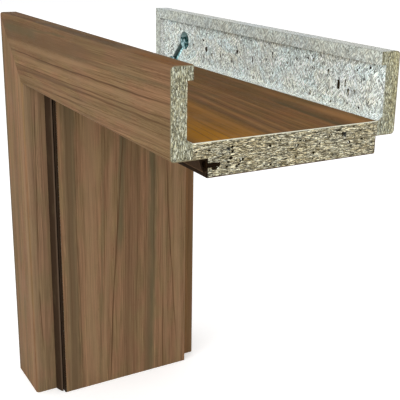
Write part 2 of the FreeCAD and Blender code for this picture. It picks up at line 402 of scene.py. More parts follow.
def build_mark(name):
    """One drawn streak of the figure, from one place across the sheet to another, with broken soft ends."""
    shape = {"From": 0.0, "To": 0.0, "Bow": 0.0, "Start": 0.0, "End": 100.0, "Width": 1.0}
    desk, entry = new_group(name, {"Vector": ORIGIN, **shape, "Strength": 0.5, "Fade": 0.18})
    u, _, length = desk.split(entry["Vector"])
    share = (length - entry["Start"]) / (entry["End"] - entry["Start"])
    rest = 1.0 - share
    line = (entry["To"] - entry["From"]) * share + entry["From"] + entry["Bow"] * share * rest * 4.0
    stray = desk.noise(entry["Vector"], (30, 30, 45), (3.1, 0.4, 7.7), 1)
    ragged = desk.noise(entry["Vector"], (0.8, 5, 16), (0.3, 2.2, 1.9), 1)
    away = abs(u - (line + (stray - 0.5) * 2.2))
    body = (away / (entry["Width"] * (ragged * 1.1 + 0.45))).soft(1.0, 0.15)
    ends = share.soft(0.0, entry["Fade"]) * rest.soft(0.0, entry["Fade"])
    broken = desk.noise(entry["Vector"], (6, 6, 38), (9.3, 1.2, 4.1), 2) * 1.1 + 0.4
    return desk.give({"Mask": (body * ends * broken * entry["Strength"]).clamped()})


def build_walnut(name):
    """Walnut figure of a sheet: bands, growth lines, fibres and pores along its length."""
    shape = {"Seed": 0.0, "Tilt": 0.0, "Wander": 7.0, "Lines": 0.5, "Bands": 0.5, "Olive amount": 0.5}
    paints = dict.fromkeys(("Light", "Middle", "Dark", "Olive", "Line"), GREY)
    desk, entry = new_group(name, {"Vector": ORIGIN, **shape, **paints})
    u, _, length = desk.split(entry["Vector"])
    placed = desk.join(u, entry["Seed"], length)
    sway = desk.noise(placed, (75, 9, 300), (0.2, 0.1, 0.7), 1) - 0.5
    shiver = desk.noise(placed, (14, 9, 70), (4.2, 3.1, 2.7), 1) - 0.5
    bent = sway * entry["Wander"] * 2.0 + u + shiver * 1.2 + length * entry["Tilt"]
    grain = desk.join(bent, entry["Seed"], length)
    bands = desk.noise(grain, (6.5, 9, 520), (1.7, 0.3, 0.9), 2, 0.62)
    wood = entry["Middle"].painted(bands.soft(0.5, 0.70) * entry["Bands"], entry["Light"])
    wood = wood.painted(bands.soft(0.5, 0.32) * entry["Bands"], entry["Dark"])
    green = desk.noise(grain, (15, 9, 330), (7.7, 5.3, 1.1), 2).soft(0.5, 0.68)
    wood = wood.painted(green * entry["Olive amount"], entry["Olive"])
    rings = desk.noise(grain, (1.5, 9, 300), (2.9, 8.8, 3.3), 2, 0.6).soft(0.54, 0.68)
    wood = wood.painted(rings * entry["Lines"], entry["Line"])
    threads = desk.noise(grain, (1.15, 9, 190), (6.1, 1.4, 5.8), 1, 0.6)
    fibres = desk.noise(placed, (0.6, 9, 32), (2.2, 4.4, 8.1), 1)
    wood = wood.dyed(1.0, threads * 0.74 + fibres * 0.96 + 0.15)
    blush = desk.noise(placed, (11, 9, 36), (8.3, 2.4, 0.6), 1).soft(0.36, 0.64)
    wood = wood.dyed(1.0, desk.mix(blush, (1.06, 0.98, 0.975), (0.965, 1.01, 0.93)))
    crowd = desk.noise(grain, (4, 9, 90), (5.5, 2.1, 6.6), 1).soft(0.42, 0.62)
    pores = desk.noise(placed, (0.2, 9, 4.5), (1.1, 6.2, 0.4)).soft(0.64, 0.74) * crowd
    wood = wood.painted(pores * 0.42, entry["Line"])
    gloss = pores * 0.25 + threads * 0.12
    return desk.give({"Color": wood, "Height": fibres * 0.3 - pores, "Gloss break": gloss})


def build_flakes(name):
    """One layer of wood chips, each with a random shade, rank and hue, and a thin seam round it."""
    sockets = {"Vector": ORIGIN, "Size": (4.0, 1.5, 0.9), "Start": ORIGIN, "Seam width": 0.13}
    desk, entry = new_group(name, sockets)
    cell = desk.vector("ADD", desk.vector("DIVIDE", entry["Vector"], entry["Size"]), entry["Start"])
    ragged = desk.cloud(cell, 1.0, 0.6, 1.7, "Color")
    torn = desk.vector("ADD", cell, desk.scaled(desk.vector("SUBTRACT", ragged, (0.5, 0.5, 0.5)), 0.45))
    chips, edge = (
        desk.wires(desk.put("TexVoronoi", {"Vector": torn, "Scale": 1.0, "Randomness": 1.0}, feature=feature))
        for feature in ("F1", "DISTANCE_TO_EDGE")
    )
    shade, rank, hue = desk.wires(desk.put("SeparateColor", {0: chips["Color"]})).values()
    seam = edge["Distance"].soft(entry["Seam width"], entry["Seam width"] * 0.25)
    return desk.give({"Shade": shade, "Rank": rank, "Hue": hue, "Seam": seam})


def build_chips(name):
    """Pressed chips of a board, in three crossing layers, with dark seams and specks between them."""
    shape = {"Spread": 0.6, "Gaps": 0.5, "Contrast": 1.0, "Seam width": 0.13, "Grit": 0.4}
    paints = dict.fromkeys(("Pale", "Middle", "Deep", "Gap"), GREY)
    desk, entry = new_group(name, {"Vector": ORIGIN, "Size": (4.2, 1.5, 0.85), **shape, **paints})
    place, size, spread = entry["Vector"], entry["Size"], entry["Spread"]
    small = desk.vector("MULTIPLY", size, (0.48, 0.5, 0.7))
    kinds = (
        (spread, size, (0.3, 8.1, 2.2)), (spread * -0.8, size, (5.3, 1.1, 7.2)), (0.1, small, (2.9, 4.7, 0.6))
    )
    ways, layers = [], []
    for angle, flake, start in kinds:
        ways.append(desk.turned(place, angle))
        sockets = {"Vector": ways[-1], "Size": flake, "Start": start, "Seam width": entry["Seam width"]}
        layers.append(desk.group("Chip Layer", build_flakes, sockets))
    first, second, third = layers
    over = desk.calc("GREATER_THAN", second["Rank"], 0.5)
    top = desk.calc("GREATER_THAN", third["Rank"], 0.5)
    shade, rank, hue, seam = (
        desk.mix(top, desk.mix(over, first[n], second[n], "FLOAT"), third[n], "FLOAT")
        for n in ("Shade", "Rank", "Hue", "Seam")
    )
    lay = desk.mix(over, ways[0], ways[1], "VECTOR")
    fine = desk.cloud(desk.vector("DIVIDE", lay, desk.vector("MULTIPLY", size, (0.8, 0.14, 0.3))), 1.0)
    shade = (((fine - 0.5) * 0.55 + shade - 0.5) * entry["Contrast"] + 0.5).clamped()
    wood = entry["Middle"].painted(shade.soft(0.45, 0.95), entry["Pale"])
    wood = wood.painted(shade.soft(0.36, 0.0), entry["Deep"])
    wood = wood.dyed(1.0, desk.mix(hue, (1.02, 0.995, 0.955), (0.955, 1.0, 1.035)))
    crumbs = desk.noise(lay, (5.4, 0.8, 0.6), (4.1, 0.8, 2.6), 1).soft(0.36, 0.62)
    wood = wood.dyed(1.0, (crumbs - 0.5) * entry["Grit"] + 1.0)
    dots = desk.vector("DIVIDE", place, desk.vector("MULTIPLY", size, (0.30, 0.42, 0.9)))
    limit = entry["Gaps"] * -0.13 + 0.74
    holes = desk.cloud(dots, 1.0, 0.6).soft(limit, limit + 0.05)
    seams = seam * rank.soft(0.3, 0.7) * entry["Gaps"] * 1.25
    void = desk.calc("MAXIMUM", holes, seams).clamped()
    return desk.give({"Color": wood.painted(void * 0.9, entry["Gap"]), "Height": (shade + rank) * 0.4 - void})


def build_handling(name):
    """Faint dust and finger marks that change a surface's gloss and lightness."""
    desk, entry = new_group(name, {"Vector": ORIGIN, "Amount": 0.5})
    smear = desk.noise(entry["Vector"], (46, 46, 46), (0.4, 2.6, 1.3), 3, 0.6)
    dust = desk.noise(entry["Vector"], (2.4, 2.4, 2.4), (5.4, 0.6, 3.3), 2)
    level = (dust * 0.35 + smear * 0.65 - 0.5) * entry["Amount"]
    return desk.give({"Gloss": level, "Light": level * 0.25 + 1.0})


def new_material(name):
    """Empty material. Returns it, its desk, its object place and its surface shader."""
    made = bpy.data.materials.new(name)
    made.use_nodes = True
    made.node_tree.nodes.clear()
    desk = Desk(made.node_tree)
    place = desk.take("TexCoord", output="Object")
    shader = desk.put("BsdfPrincipled")
    shader.location = (2900, 0)
    desk.put("OutputMaterial", {"Surface": Wire(desk, shader.outputs[0])}).location = (3200, 0)
    return made, desk, place, shader


def finish(desk, shader, shade, roughness, height, relief, strength=1.0, specular=0.5):
    """Feed a surface shader with its colour, its roughness and a fine relief in metres."""
    bump = desk.take("Bump", {"Height": height, "Distance": relief, "Strength": strength})
    for name, value in (("Base Color", shade), ("Roughness", roughness), ("Normal", bump)):
        desk.feed(shader.inputs[name], value)
    shader.inputs["Specular IOR Level"].default_value = specular


def member_places(desk, place, member):
    """Depth, offset and length on a member, and distance from the mitre, in mm."""
    parts = desk.group("Frame Places", build_places, {"Vector": place})
    label = member.capitalize()
    return parts["Depth"], parts[label + " offset"], parts[label + " length"], parts["Mitre"]


def near_cut(length, member, start, full):
    """Rises from 0 to 1 towards a member's sawn end, between two distances from it in mm."""
    return (HEAD_END - length if member == "head" else length).soft(start, full)


LIGHT, DARK, OLIVE, LINE = "walnut_light", "walnut_dark", "walnut_olive", "walnut_line"
PALE, DIM, MOSS, GOLD = "backing_light", "backing_dark", "backing_olive", "backing_gold"

# Streaks of each walnut sheet: colour, place across at its start and at its end, start and end along
# the member, half width, strength and, where it is bent, its bow. All lengths in mm.
FIGURE = {
    "head_front_architrave_laminate": [
        (DARK, 1.0, 1.0, -70, 320, 3.2, 0.50), (DARK, 12.0, 12.0, -120, 200, 14.0, 0.85),
        (DARK, 26.0, 22.0, -120, 90, 12.0, 0.45), (OLIVE, 10.5, 10.0, -52, 52, 6.5, 0.80),
        (OLIVE, 7.0, 3.0, 20, 130, 1.6, 0.60), (OLIVE, 18.0, 13.0, 90, 330, 2.6, 0.45),
        (LIGHT, 25.0, 20.0, -60, 190, 4.2, 0.70), (LINE, 31.4, 22.6, -60, 330, 0.85, 0.85, 1.3),
        (DARK, 12.6, 6.5, 60, 330, 0.9, 0.55), (DARK, 17.5, 11.0, 50, 330, 0.8, 0.50),
        (LINE, 24.0, 18.0, 150, 340, 0.5, 0.45), (LIGHT, 36.0, 28.0, -50, 330, 3.0, 0.60),
        (LINE, 43.6, 31.6, -50, 330, 0.75, 0.66, 0.8), (LINE, 47.4, 36.6, -40, 330, 1.2, 0.66, -0.6),
        (DARK, 46.0, 41.6, -40, 130, 3.4, 0.75), (LINE, 50.6, 49.6, -40, 40, 0.6, 0.50),
        (LIGHT, 53.0, 47.0, -20, 330, 2.6, 0.45), (LINE, 55.0, 42.0, 60, 330, 0.6, 0.50),
        (DARK, 60.0, 49.0, 110, 330, 1.3, 0.70), (LINE, 61.0, 55.0, 160, 340, 0.7, 0.60),
        (OLIVE, -7.0, -7.0, 30, 240, 9.0, 0.60), (GOLD, -8.0, -8.0, 205, 360, 9.0, 0.45),
    ],
    "leg_front_architrave_laminate": [
        (OLIVE, 4.0, 4.0, 420, -40, 4.6, 0.95), (LIGHT, 18.0, 20.0, 380, -30, 5.5, 0.45),
        (DARK, 43.0, 38.5, 330, 60, 1.8, 0.60), (OLIVE, 31.0, 27.0, 280, 120, 4.5, 0.45),
        (OLIVE, 33.0, 31.0, 110, -30, 5.5, 0.50), (LIGHT, 52.0, 54.0, 400, -30, 4.6, 0.60),
        (LIGHT, 64.0, 63.0, 400, -30, 5.0, 0.50), (LINE, 70.8, 66.4, 330, 125, 0.8, 0.75, 0.9),
        (LINE, 67.2, 69.6, 118, 40, 0.8, 0.65), (DARK, 76.0, 72.0, 360, -30, 1.3, 0.40),
    ],
    "leg_lining_face_laminate": [
        (OLIVE, 38.5, 36.5, 380, -50, 10.0, 1.00), (DARK, 37.0, 37.0, 330, -60, 7.0, 0.60),
        (LIGHT, 33.6, 32.6, 350, -40, 1.1, 0.30), (LIGHT, 41.8, 40.2, 330, -40, 1.1, 0.15),
        (LINE, 36.0, 35.6, 330, 40, 0.5, 0.45), (LINE, 44.0, 42.6, 300, -20, 0.6, 0.45),
        (LINE, 46.5, 45.4, 330, 210, 0.8, 0.70), (LIGHT, 59.0, 56.0, 340, -30, 11.0, 0.60),
        (LINE, 52.0, 50.6, 300, 60, 0.5, 0.35), (LINE, 57.5, 56.0, 280, 100, 0.5, 0.30),
        (LINE, 75.6, 69.0, 310, 30, 0.7, 0.50), (OLIVE, 74.0, 64.0, 280, -20, 2.2, 0.40),
        (OLIVE, 98.0, 88.0, 330, 130, 5.6, 0.95, -1.0), (LINE, 97.5, 74.8, 300, -30, 1.0, 0.90, -2.4),
        (LINE, 87.2, 84.6, 215, 120, 0.6, 0.75), (LIGHT, 84.0, 66.0, 290, -30, 4.0, 0.50),
        (DARK, 104.0, 96.0, 300, -40, 13.0, 0.50), (LINE, 103.5, 98.0, 280, 120, 0.7, 0.35),
        (OLIVE, 127.0, 120.0, 340, -40, 7.4, 0.95, 1.5), (LINE, 128.0, 127.0, 260, 90, 0.8, 0.55),
        (DARK, 121.5, 118.0, 180, -40, 5.5, 0.60), (LINE, 137.0, 138.2, 220, -40, 0.8, 0.70),
        (LIGHT, 135.0, 144.0, 260, -30, 3.6, 0.40), (LINE, 142.0, 156.4, 250, 10, 0.9, 0.80, -2.2),
        (LIGHT, 151.0, 160.0, 320, -20, 5.6, 0.55, -2.0), (LINE, 158.0, 164.0, 230, 30, 0.8, 0.40),
    ],
    "leg_rear_architrave_laminate": [
        (GOLD, 68.0, 68.0, 440, -60, 6.0, 0.16), (DARK, 66.0, 66.0, 440, -60, 5.0, 0.55),
        (OLIVE, 74.5, 74.0, 340, 120, 2.6, 0.70), (LINE, 60.6, 60.6, 440, -60, 1.0, 0.60),
    ],
    "head_lining_back_laminate": [
        (PALE, 155.0, 150.0, 130, 400, 7.0, 0.55), (PALE, 153.0, 153.0, 222, 420, 11.0, 1.00),
        (DIM, 146.0, 128.0, 20, 260, 15.0, 0.50), (MOSS, 140.0, 128.0, 190, 360, 5.0, 0.90),
        (PALE, 122.0, 108.0, 60, 330, 4.0, 0.60), (LINE, 120.0, 106.0, 90, 330, 0.8, 0.70),
        (LINE, 112.0, 96.0, 120, 330, 0.7, 0.55), (PALE, 105.0, 88.0, 130, 330, 2.4, 0.60),
        (LINE, 100.0, 82.0, 130, 330, 0.9, 0.65), (PALE, 93.0, 76.0, 150, 330, 2.6, 0.65),
        (DIM, 86.0, 72.0, 150, 330, 3.6, 0.60), (LINE, 78.0, 66.0, 170, 330, 0.8, 0.65),
        (PALE, 72.0, 62.0, 180, 330, 3.0, 0.60), (LINE, 62.0, 57.0, 190, 330, 1.0, 0.70),
        (GOLD, 40.0, 36.0, 120, 440, 27.0, 1.00), (GOLD, 30.0, 30.0, 150, 440, 17.0, 1.00),
        (DIM, 50.0, 42.0, 230, 330, 1.4, 0.50), (LINE, 44.0, 35.0, 215, 330, 0.7, 0.50),
        (DIM, 36.0, 29.0, 235, 330, 1.0, 0.45), (PALE, 54.0, 46.0, 215, 330, 2.2, 0.55),
        (GOLD, 74.0, 52.0, 110, 440, 15.0, 0.42),
    ],
}

# Slope of the figure on each sheet, as mm across for each mm along
TILT = {
    "head_front_architrave_laminate": 0.036,
    "head_lining_back_laminate": 0.07,
    "leg_front_architrave_laminate": -0.004,
}

# Tone of a sheet against the common colours, as red, green and blue factors
TONE = {"leg_lining_face_laminate": (1.08, 1.11, 1.16), "head_lining_back_laminate": (1.02, 1.0, 0.95)}

# How each walnut sheet lies: what its figure runs across, where it starts to fold and its depth there
UNFOLDED = -100.0
SHEETS = {
    "front_architrave_laminate": ("offset", FACE_WIDTH / 2, 0.0),
    "rear_architrave_laminate": ("offset", FACE_WIDTH / 2, FRAME_DEPTH),
    "lining_face_laminate": ("depth", UNFOLDED, LINING_FACE),
    "lining_back_laminate": ("depth", UNFOLDED, LINING_BACK),
}

# Colour of each sheet's core at a sawn end, where it isn't the common one
CORES = {"lining_face_laminate": "walnut_line", "lining_back_laminate": "sawn_pale"}


def walnut_material(node, seed):
    """Walnut laminate of one sheet, with its grain along the member and its own streaks."""
    member, sheet = node.split("_", 1)
    run, fold, face = SHEETS[sheet]
    made, desk, place, shader = new_material(node + "_walnut")
    depth, offset, length, mitre = member_places(desk, place, member)
    wide, deep = (offset, depth) if run == "offset" else (depth, offset)
    flat = desk.join(desk.calc("SIGN", wide - fold) * abs(deep - face) + wide, 0.0, length)
    family = "backing_" if sheet == "lining_back_laminate" else "walnut_"
    figure = {socket: tint(family + socket.lower()) for socket in ("Light", "Dark", "Olive")}
    figure.update({"Middle": tint(family + "mid"), "Line": tint("walnut_line"), "Vector": flat})
    figure.update({"Seed": seed * 11.3, "Tilt": TILT.get(node, 0.0)})
    figure["Wander"] = bpy.context.scene.door_frame_sizes.grain_wander
    drawn = node in FIGURE
    amounts = (0.42, 0.55, 0.18) if drawn else (0.55, 0.9, 0.6)
    figure.update(zip(("Lines", "Bands", "Olive amount"), amounts))
    wood = desk.group("Walnut Figure", build_walnut, figure)
    shade = wood["Color"]
    for name, start, end, low, high, half, strength, *bow in FIGURE.get(node, []):
        mark = {"Vector": flat, "From": start, "To": end, "Start": low, "End": high, "Width": half}
        mark.update({"Strength": strength, "Bow": bow[0] if bow else 0.0})
        shade = shade.painted(desk.group("Drawn Streak", build_mark, mark)["Mask"], tint(name))
    touched = {"Vector": desk.scaled(place, 1 / MM), "Amount": 0.6}
    handled = desk.group("Handling", build_handling, touched)
    shade = shade.dyed(1.0, handled["Light"])
    shade = shade.painted(mitre.soft(0.5, 0.12) * 0.45, tint("walnut_line"))
    if node in TONE:
        shade = shade.dyed(1.0, TONE[node])
    if sheet == "front_architrave_laminate":
        # Painted shade: the folded outer face of the front sheet, the head's top and the leg's outer side, is
        # darkened and warmed
        shade = shade.dyed(depth.soft(1.4, 3.0) * offset.soft(0.7, 0.1), (0.66, 0.57, 0.46))
        # Painted highlight: the sheet is lightened and turned bluish from the inner rounded edge of the face on
        # across the return
        shade = shade.dyed(offset.soft(FACE_WIDTH - 1.0, FACE_WIDTH - 0.2), (1.06, 1.14, 1.26))
        if member == "head":
            shade = shade.dyed(length.soft(220.0, -20.0), (0.89, 0.89, 0.85))
    shade = shade.painted(near_cut(length, member, 0.12, 0.03), tint(CORES.get(sheet, "sheet_core")))
    rough = wood["Gloss break"] + handled["Gloss"] + 0.50
    finish(desk, shader, shade, rough, wood["Height"], 0.00006, 0.7, 0.02)
    return made


def chipboard_material(node, seed):
    """Bare chipboard of one board: greenish sawn ends, bluish milled wall side, smoother sanded lip."""
    member, board = node.split("_", 1)
    made, desk, place, shader = new_material(node + "_chips")
    depth, offset, length, mitre = member_places(desk, place, member)
    sawn = near_cut(length, member, 0.9, 0.3)
    bare = 1.0 - sawn
    foot = offset.soft(*FOOT)
    if board == "front_architrave_board":
        lining = depth.soft(FRONT_BACK - 0.1, FRONT_BACK + 0.3) * foot
        inside = depth.soft(FRONT_RECESS + 0.2, FRONT_RECESS - 0.2)
        joint_shade = depth.soft(FRONT_BACK + 0.6, FRONT_BACK + 2.0)
    elif board == "rear_architrave_board":
        lining = depth.soft(REAR_BACK + 0.1, REAR_BACK - 0.3) * foot
        inside = depth.soft(REAR_RECESS - 0.2, REAR_RECESS + 0.2) * offset.soft(1.0, 1.4)
        joint_shade = depth.soft(REAR_BACK - 1.1, REAR_BACK - 3.0) * foot
    else:
        lining = 1.0
        joint_shade = offset.soft(54.1, 54.5) * offset.soft(67.0, 66.6)

    def by_face(wall, section, lining_section, kind="FLOAT"):
        """A value for the wall side, for an architrave's sawn end and for the lining's."""
        return desk.mix(sawn, wall, desk.mix(lining, section, lining_section, kind), kind)

    shifted = length + seed * 37.0
    spot = desk.mix(lining, desk.join(offset, shifted, depth), desk.join(depth, shifted, offset), "VECTOR")
    shades = [
        by_face(tint("wall_" + tone), tint("sawn_" + tone), tint("lining_" + tone), "RGBA")
        for tone in ("pale", "mid", "deep")
    ]
    gaps = by_face(0.72, 0.78, 0.98)
    if board == "rear_architrave_board":
        lip = depth.soft(REAR_BACK + 0.9, REAR_BACK + 0.3) * offset.soft(FOOT[1], FOOT[0])
        outer = offset.soft(LIP_EDGE + 0.15, LIP_EDGE - 0.05)
        edge = desk.calc("MAXIMUM", lip, outer) * bare
        wall = outer * depth.soft(REAR_BACK + 0.3, REAR_BACK + 0.8) * bare
        shades = [shade.painted(edge * 0.7, tint("lip_tint")) for shade in shades]
        shades = [shade.painted(wall, tint("wall_pale")) for shade in shades]
        gaps = gaps - edge * 0.25
        bare = bare - edge
    sizes = bpy.context.scene.door_frame_sizes
    flake = (sizes.flake_length, sizes.flake_width, sizes.flake_thickness)
    shares = (1.6, 1.1, 1.3), (0.8, 0.75, 0.85), (1.1, 0.7, 0.72)
    bed = {
        "Vector": spot,
        "Size": by_face(*(tuple(f * s for f, s in zip(flake, share)) for share in shares), "VECTOR"),
        "Spread": 0.1 if board == "lining_board" else desk.mix(sawn, 0.8, 0.2, "FLOAT"),
        "Gaps": gaps, "Contrast": by_face(0.55, 0.92, 1.05), "Grit": by_face(0.78, 1.0, 1.35),
        "Seam width": 0.12, "Gap": desk.mix(sawn, tint("wall_gap"), tint("chip_gap")),
        **dict(zip(("Pale", "Middle", "Deep"), shades)),
    }
    chips = desk.group("Chip Bed", build_chips, bed)
    drift = desk.noise(spot, (26, 38, 26), (1.5, 2.5, 0.5), 2).soft(0.35, 0.65)
    icy = desk.noise(spot, (13, 30, 13), (6.5, 4.5, 1.5), 1).soft(0.52, 0.64)
    cast = desk.mix(drift, (0.99, 0.985, 0.94), (0.97, 1.0, 1.02)).painted(icy * bare, (0.93, 1.0, 1.02))
    shade = chips["Color"].dyed(1.0, cast)
    # Painted shadow: on the head, a thin broken dark line along the recess just under the lip's step
    if member == "head":
        broken = desk.noise(spot, (2.4, 5, 2.4), (0.6, 0.3, 0.9), 1).soft(0.3, 0.6)
        step = offset.soft(LIP_EDGE + 0.8, LIP_EDGE + 0.2) * offset.soft(LIP_EDGE - 0.2, LIP_EDGE)
        shade = shade.painted(step * bare * broken * 0.65, tint("chip_gap"))
    if board == "rear_architrave_board":
        shade = shade.dyed(sawn * depth.soft(REAR_BACK + 2.0, REAR_BACK + 15.0), (1.06, 1.03, 0.92))
        # Painted shade: the bare outer face of the rear board, the head's top and the leg's outer side, is darkened
        shade = shade.dyed((1.0 - sawn) * offset.soft(0.5, 0.1), (0.68, 0.69, 0.67))
    # Painted shade: bare faces behind an architrave's back, in its joint with the lining, and inside the lining's
    # grooves are darkened to the chip gap colour
    shade = shade.painted(joint_shade * bare * 0.85, tint("chip_gap"))
    if board != "lining_board":
        # Painted reflection and painted shade: inside the clamp pockets the bare chipboard takes the pale zinc
        # reflection, mottled with dark zinc, and is darker near the mitre along the slot
        reflection_mottle = desk.noise(place, (0.0030, 0.0030, 0.0024), (0.4, 0.9, 0.1), 2).soft(0.54, 0.72)
        painted_zinc_reflection = desk.mix(reflection_mottle, tint("pocket"), tint("zinc_deep"))
        painted_zinc_reflection = painted_zinc_reflection.dyed(mitre.soft(20.0, 15.0), (0.36, 0.42, 0.42))
        shade = shade.painted(inside * bare * 0.85, painted_zinc_reflection)
    finish(desk, shader, shade, 0.82, chips["Height"], 0.00022, 0.8, 0.2)
    return made


def hollow_material():
    """Inside of the hollows where chips have come away, darkened most of the way to near black as painted shade."""
    made, desk, place, shader = new_material("chip_hollow_painted_shade")
    grain = desk.noise(place, (0.0011, 0.0004, 0.0007), (0.2, 0.8, 0.5), 3, 0.65)
    shade = desk.ramp(grain, [(0.45, tint("chip_gap")), (0.66, tint("lining_deep")), (0.9, tint("lining_mid"))])
    # Painted shade: the hollows' insides are mixed seven tenths of the way to near black
    finish(desk, shader, shade.painted(0.7, (0.010, 0.005, 0.003)), 0.95, grain, 0.0002, specular=0.0)
    return made


def splinter_material():
    """Loose pale chips that stand up round the hollows."""
    made, desk, place, shader = new_material("loose_chip")
    grain = desk.noise(place, (0.0016, 0.0005, 0.0030), (3.2, 0.1, 0.9), 3, 0.6)
    shade = desk.ramp(grain, [(0.3, tint("lining_mid")), (0.55, tint("sawn_pale")), (0.8, tint("wall_pale"))])
    finish(desk, shader, shade, 0.75, grain, 0.0001, specular=0.2)
    return made


def rubber_material():
    """Dark brown extruded rubber, with fine draw lines along it and a little dust, a painted highlight along the
    lip's rim, and painted shade along its top, over the back of its lip and on its cut ends.
    """
    made, desk, place, shader = new_material("gasket_rubber_brown")
    parts = desk.group("Frame Places", build_places, {"Vector": place})
    leg, head = parts["Leg offset"], parts["Head offset"]
    side = desk.calc("MINIMUM", leg, head)
    drawn = desk.noise(desk.join(leg, parts["Depth"], head), (0.35, 0.35, 0.35), (0.7, 1.9, 2.4), 1)
    dust = desk.noise(place, (0.009, 0.009, 0.021), (0.9, 0.2, 0.7), 4, 0.6)
    shade = desk.mix(dust.soft(0.48, 0.75) * 0.22, tint("rubber"), tint("walnut_olive"))
    # Painted highlight: a thin paler band along the rim of the lip
    shade = shade.painted(side.soft(67.8, 68.5) * side.soft(69.6, 69.2) * 0.75, tint("rubber_worn"))
    # Painted shade: a dark line along the top of the gasket, and near black over the back of the lip and on the cut
    # ends
    head_cut = near_cut(parts["Head length"], "head", 0.5, 0.1)
    leg_cut = near_cut(parts["Leg length"], "leg", 0.5, 0.1)
    dark = desk.calc("MAXIMUM", side.soft(61.4, 60.6) * 0.3, side.soft(69.3, 70.0) * 0.55)
    dark = desk.calc("MAXIMUM", dark, desk.calc("MAXIMUM", head_cut, leg_cut) * 0.85)
    shade = shade.painted(dark, (0.008, 0.005, 0.003))
    overhead = (leg - head).soft(5.0, 15.0)
    shade = shade.dyed(overhead, (0.88, 0.76, 0.56))
    finish(desk, shader, shade, dust * 0.3 + 0.46, drawn, 0.00003, specular=0.02)
    return made


def zinc_material():
    """Blue passivated zinc plate, cloudy and slightly worn."""
    made, desk, place, shader = new_material("zinc_plate_blue")
    cloud = desk.noise(place, (0.0022, 0.0022, 0.0022), (0.3, 0.3, 0.8), 3, 0.6)
    scratch = desk.noise(place, (0.0004, 0.006, 0.0004), (0.5, 0.1, 0.2), 1)
    shade = desk.mix(cloud.soft(0.38, 0.56), tint("zinc"), tint("zinc_deep"))
    shader.inputs["Metallic"].default_value = 1.0
    finish(desk, shader, shade, cloud * 0.3 + scratch * 0.15 + 0.18, scratch, 0.00002)
    return made


def beech_material():
    """Plain beech with short dark flecks along each dowel."""
    made, desk, place, shader = new_material("beech_plain")
    turned = desk.take("Mapping", {"Vector": place, "Rotation": (0, math.radians(45), 0)})
    grain = desk.noise(turned, (0.0006, 0.0006, 0.02), (0.1, 0.1, 0.4), 3)
    fleck = desk.noise(turned, (0.0002, 0.0003, 0.0016), (2.1, 0.7, 0.4)).soft(0.64, 0.72)
    shade = desk.mix(grain.soft(0.35, 0.7), tint("beech"), tint("walnut_light"))
    finish(desk, shader, shade.painted(fleck * 0.5, tint("walnut_mid")), 0.6, grain, 0.00005)
    return made


def wear(piece, *materials):
    """Give a piece its finishes."""
    piece.data.materials.clear()
    for material in materials:
        piece.data.materials.append(material)


def deselect():
    """Come out of any mesh, with nothing selected."""
    if bpy.context.object and bpy.context.object.mode != "OBJECT":
        bpy.ops.object.mode_set(mode="OBJECT")
    bpy.ops.object.select_all(action="DESELECT")


def only(piece):
    """Select one piece alone and make it the active one."""
    deselect()
    piece.select_set(True)
    bpy.context.view_layer.objects.active = piece


def fresh(adder, name, **settings):
    """Add a primitive with nothing else selected."""
    deselect()
    adder(**settings)
    piece = bpy.context.object
    piece.name = name
    return piece


def settle(piece):
    """Put a piece's place, turn and scale into its mesh."""
    only(piece)
    bpy.ops.object.transform_apply(location=True, rotation=True, scale=True)


def apply_all(piece):
    """Apply every modifier of a piece, from the first to the last."""
    only(piece)
    for modifier in list(piece.modifiers):
        bpy.ops.object.modifier_apply(modifier=modifier.name)


def together(pieces, name):
    """Join pieces into the first one."""
    only(pieces[0])
    for piece in pieces:
        piece.select_set(True)
    bpy.ops.object.join()
    pieces[0].name = name
    return pieces[0]


def copy_of(piece, name):
    """Copy of a piece with a mesh of its own."""
    only(piece)
    bpy.ops.object.duplicate(linked=False)
    made = bpy.context.object
    made.name = name
    return made


def stand_in(piece, node, angle):
    """Smooth a new piece below an angle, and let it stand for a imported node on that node's body."""
    only(piece)
    bpy.ops.object.shade_smooth_by_angle(angle=math.radians(angle))
    settle(piece)
    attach(piece, frame["nodes"][node]["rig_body"])
    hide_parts(node)


def open_mesh(piece):
    """Go into a piece's mesh, with all of it selected."""
    only(piece)
    bpy.ops.object.mode_set(mode="EDIT")
    bpy.ops.mesh.select_all(action="SELECT")


def close_mesh():
    """Come out of a piece's mesh."""
    bpy.ops.object.mode_set(mode="OBJECT")


def pick_faces(piece, wanted):
    """Go into a piece's mesh, with only the wanted faces selected."""
    open_mesh(piece)
    bpy.ops.mesh.select_mode(type="FACE")
    bpy.ops.mesh.select_all(action="DESELECT")
    close_mesh()
    for face in piece.data.polygons:
        face.select = wanted(face)
    bpy.ops.object.mode_set(mode="EDIT")


def bevel_ends(piece, width, segments):
    """Bevel both ends of an upright round bar."""
    pick_faces(piece, lambda face: abs(face.normal.z) > 0.9)
    bpy.ops.mesh.region_to_loop()
    bpy.ops.mesh.bevel(offset=width, offset_type="OFFSET", segments=segments)
    close_mesh()


def slice_off(piece, place, normal, gap=0.0, **cleared):
    """Cut a piece on a plane, close the cut and turn its faces outwards."""
    open_mesh(piece)
    bpy.ops.mesh.bisect(plane_co=place, plane_no=normal, use_fill=True, **cleared)
    bpy.ops.mesh.select_all(action="SELECT")
    if gap:
        bpy.ops.mesh.remove_doubles(threshold=gap)
    bpy.ops.mesh.normals_make_consistent(inside=False)
    close_mesh()


def carve(piece, tool, operation, **settings):
    """Cut a piece with a tool, or keep what both share. The tool is used up."""
    cut = piece.modifiers.new("carve", "BOOLEAN")
    settings.update({"object": tool, "operation": operation, "solver": "EXACT"})
    for name, value in settings.items():
        setattr(cut, name, value)
    apply_all(piece)
    bpy.data.objects.remove(tool)


